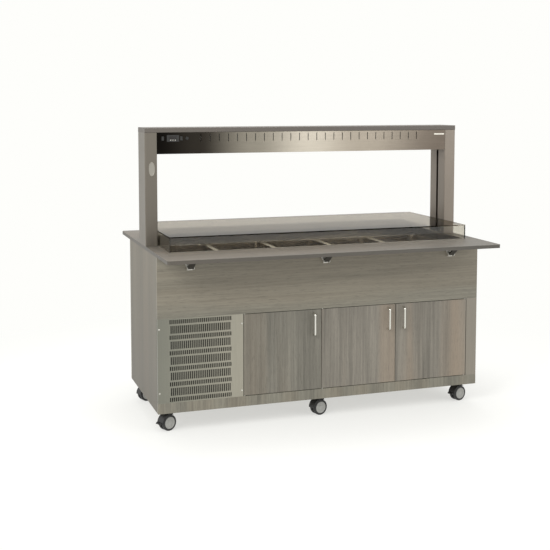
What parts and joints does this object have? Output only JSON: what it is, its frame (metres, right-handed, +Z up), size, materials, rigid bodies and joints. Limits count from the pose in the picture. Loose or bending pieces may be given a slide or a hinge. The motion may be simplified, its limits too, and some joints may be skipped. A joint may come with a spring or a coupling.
{
  "type": "mobile refrigerated salad bar",
  "caption": "Mobile refrigerated salad bar with laminate cabinet, steel well with food containers, clear lifting cover, lit canopy, folding tray slides, doors and castors.",
  "frame": {"origin": "on the floor, under the middle of the cabinet", "axes": "+X runs along the bar towards its right end seen from the doors; -Y faces out of the doors; +Z is up"},
  "size_m": [1.775, 1.195, 1.52],
  "materials": {
    "laminate": "satin grained laminate",
    "dark_laminate": "matte",
    "grille_steel": "satin",
    "well_steel": "satin",
    "bracket_steel": "satin",
    "bright_steel": "polished",
    "column_metal": "satin",
    "canopy_steel": "satin",
    "clear_acrylic": "clear, polished",
    "foam": "closed-cell foam",
    "black_plastic": "satin",
    "castor_grey": "matte",
    "castor_tread": "matte",
    "machine_black": "satin",
    "machine_steel": "galvanised",
    "coil_fins": "satin",
    "lamp_white": "milky"
  },
  "bodies": {
    "cabinet": {"carcass_boards": "laminate", "side_panels": "laminate", "upper_front_panel": "laminate", "back_panel": "laminate", "worktop_frame": "laminate", "top_shelf": "dark_laminate", "vent_grille": "grille_steel", "steel_strip": "grille_steel", "well_basin": "well_steel", "divider_bars": "well_steel", "well_insulation": "foam", "columns": "column_metal", "canopy_housing": "canopy_steel", "lamp_unit": "lamp_white", "control_housings": "black_plastic", "lift_actuators": "machine_steel", "door_pivot_pins": "bright_steel", "tray_wall_brackets": "bracket_steel", "castor_plates": "machine_steel", "condenser_coil": "coil_fins", "unit_frame": "machine_steel", "compressor": "machine_black", "cable_gland": "black_plastic"},
    "cover": {"cover_shell": "clear_acrylic", "cover_lift_arms": "bright_steel"},
    "front_tray": {"front_tray_slide": "laminate", "front_tray_arms": "bracket_steel"},
    "front_struts": {"front_tray_struts": "bracket_steel"},
    "back_tray": {"back_tray_slide": "laminate", "back_tray_arms": "bracket_steel"},
    "back_struts": {"back_tray_struts": "bracket_steel"},
    "fan": {"condenser_fan": "black_plastic"},
    "power_switch": {"power_rocker": "black_plastic"},
    "lift_switch": {"lift_rocker": "black_plastic"},
    "lamp_switch": {"lamp_button": "bright_steel"},
    "pan_1": {"container_1": "well_steel"},
    "pan_2": {"container_2": "well_steel"},
    "pan_3": {"container_3": "well_steel"},
    "pan_4": {"container_4": "well_steel"},
    "pan_5": {"container_5": "well_steel"},
    "door_leaf_1": {"door_1": "laminate", "door_handle_1": "bright_steel"},
    "door_leaf_2": {"door_2": "laminate", "door_handle_2": "bright_steel"},
    "door_leaf_3": {"door_3": "laminate", "door_handle_3": "bright_steel"},
    "castor_1": {"castor_fork_1": "castor_grey"},
    "wheel_1": {"castor_wheel_1": "castor_tread"},
    "castor_2": {"castor_fork_2": "castor_grey"},
    "wheel_2": {"castor_wheel_2": "castor_tread"},
    "castor_3": {"castor_fork_3": "castor_grey"},
    "wheel_3": {"castor_wheel_3": "castor_tread"},
    "castor_4": {"castor_fork_4": "castor_grey"},
    "wheel_4": {"castor_wheel_4": "castor_tread"},
    "castor_5": {"castor_fork_5": "castor_grey"},
    "wheel_5": {"castor_wheel_5": "castor_tread"},
    "castor_6": {"castor_fork_6": "castor_grey"},
    "wheel_6": {"castor_wheel_6": "castor_tread"},
    "pedal_1": {"brake_pedal_1": "castor_grey"},
    "pedal_2": {"brake_pedal_2": "castor_grey"}
  },
  "joints": [
    {"name": "cover_lift", "type": "slide", "parent": "cabinet", "child": "cover", "axis": [0, 0, 1], "range_m": [0, 0.38]},
    {"name": "container_1_lift_out", "type": "slide", "parent": "cabinet", "child": "pan_1", "axis": [0, 0, 1], "range_m": [0, 0.11]},
    {"name": "container_2_lift_out", "type": "slide", "parent": "cabinet", "child": "pan_2", "axis": [0, 0, 1], "range_m": [0, 0.11]},
    {"name": "container_3_lift_out", "type": "slide", "parent": "cabinet", "child": "pan_3", "axis": [0, 0, 1], "range_m": [0, 0.11]},
    {"name": "container_4_lift_out", "type": "slide", "parent": "cabinet", "child": "pan_4", "axis": [0, 0, 1], "range_m": [0, 0.11]},
    {"name": "container_5_lift_out", "type": "slide", "parent": "cabinet", "child": "pan_5", "axis": [0, 0, 1], "range_m": [0, 0.11]},
    {"name": "door_1_hinge", "type": "hinge", "parent": "cabinet", "child": "door_leaf_1", "pos_m": [-0.438, -0.35, 0.3715], "axis": [0, 0, -1], "range_deg": [0, 90]},
    {"name": "door_2_hinge", "type": "hinge", "parent": "cabinet", "child": "door_leaf_2", "pos_m": [-0.01533, -0.35, 0.3715], "axis": [0, 0, -1], "range_deg": [0, 90]},
    {"name": "door_3_hinge", "type": "hinge", "parent": "cabinet", "child": "door_leaf_3", "pos_m": [0.817, -0.35, 0.3715], "axis": [0, 0, 1], "range_deg": [0, 90]},
    {"name": "front_tray_hinge", "type": "hinge", "parent": "cabinet", "child": "front_tray", "pos_m": [0, -0.367, 0.88], "axis": [1, 0, 0], "range_deg": [0, 90]},
    {"name": "front_strut_pivot", "type": "hinge", "parent": "cabinet", "child": "front_struts", "pos_m": [0, -0.367, 0.834], "axis": [1, 0, 0], "range_deg": [0, 125.1]},
    {"name": "back_tray_hinge", "type": "hinge", "parent": "cabinet", "child": "back_tray", "pos_m": [0, 0.367, 0.88], "axis": [-1, 0, 0], "range_deg": [0, 90]},
    {"name": "back_strut_pivot", "type": "hinge", "parent": "cabinet", "child": "back_struts", "pos_m": [0, 0.367, 0.834], "axis": [-1, 0, 0], "range_deg": [0, 125.1]},
    {"name": "fan_spin", "type": "hinge", "parent": "cabinet", "child": "fan", "pos_m": [-0.666, -0.255, 0.306], "axis": [0, 1, 0], "continuous": true},
    {"name": "power_rocker_tilt", "type": "hinge", "parent": "cabinet", "child": "power_switch", "pos_m": [-0.7935, -0.081, 1.465], "axis": [1, 0, 0], "range_deg": [-10, 0]},
    {"name": "lift_rocker_tilt", "type": "hinge", "parent": "cabinet", "child": "lift_switch", "pos_m": [-0.6955, -0.081, 1.465], "axis": [1, 0, 0], "range_deg": [-8, 8], "stiffness_Nm_per_rad": 0.1},
    {"name": "lamp_button_press", "type": "slide", "parent": "cabinet", "child": "lamp_switch", "axis": [0, 1, 0], "range_m": [0, 0.002], "stiffness_N_per_m": 600, "springref_m": -0.001},
    {"name": "castor_1_swivel", "type": "hinge", "parent": "cabinet", "child": "castor_1", "pos_m": [-0.8055, -0.271, 0.095], "axis": [0, 0, 1], "continuous": true},
    {"name": "wheel_1_spin", "type": "hinge", "parent": "castor_1", "child": "wheel_1", "pos_m": [-0.82468, -0.27954, 0.041], "axis": [-0.4067, 0.9135, 0], "continuous": true},
    {"name": "brake_1_press", "type": "hinge", "parent": "castor_1", "child": "pedal_1", "pos_m": [-0.87128, -0.30029, 0.044], "axis": [0.4067, -0.9135, 0], "range_deg": [0, 14]},
    {"name": "castor_2_swivel", "type": "hinge", "parent": "cabinet", "child": "castor_2", "pos_m": [0.014, -0.271, 0.095], "axis": [0, 0, 1], "continuous": true},
    {"name": "wheel_2_spin", "type": "hinge", "parent": "castor_2", "child": "wheel_2", "pos_m": [-0.00638, -0.27608, 0.041], "axis": [-0.2419, 0.9703, 0], "continuous": true},
    {"name": "castor_3_swivel", "type": "hinge", "parent": "cabinet", "child": "castor_3", "pos_m": [0.8415, -0.271, 0.095], "axis": [0, 0, 1], "continuous": true},
    {"name": "wheel_3_spin", "type": "hinge", "parent": "castor_3", "child": "wheel_3", "pos_m": [0.82131, -0.27679, 0.041], "axis": [-0.2756, 0.9613, 0], "continuous": true},
    {"name": "brake_2_press", "type": "hinge", "parent": "castor_3", "child": "pedal_2", "pos_m": [0.77229, -0.29085, 0.044], "axis": [0.2756, -0.9613, 0], "range_deg": [0, 14]},
    {"name": "castor_4_swivel", "type": "hinge", "parent": "cabinet", "child": "castor_4", "pos_m": [-0.8055, 0.271, 0.095], "axis": [0, 0, 1], "continuous": true},
    {"name": "wheel_4_spin", "type": "hinge", "parent": "castor_4", "child": "wheel_4", "pos_m": [-0.82547, 0.26451, 0.041], "axis": [-0.309, 0.9511, 0], "continuous": true},
    {"name": "castor_5_swivel", "type": "hinge", "parent": "cabinet", "child": "castor_5", "pos_m": [0.014, 0.271, 0.095], "axis": [0, 0, 1], "continuous": true},
    {"name": "wheel_5_spin", "type": "hinge", "parent": "castor_5", "child": "wheel_5", "pos_m": [-0.00454, 0.26114, 0.041], "axis": [-0.4695, 0.8829, 0], "continuous": true},
    {"name": "castor_6_swivel", "type": "hinge", "parent": "cabinet", "child": "castor_6", "pos_m": [0.8415, 0.271, 0.095], "axis": [0, 0, 1], "continuous": true},
    {"name": "wheel_6_spin", "type": "hinge", "parent": "castor_6", "child": "wheel_6", "pos_m": [0.82177, 0.26382, 0.041], "axis": [-0.342, 0.9397, 0], "continuous": true}
  ],
  "couplings": [
    {"joint": "front_strut_pivot", "follows": "front_tray_hinge", "ratio": 1.39},
    {"joint": "back_strut_pivot", "follows": "back_tray_hinge", "ratio": 1.39}
  ]
}
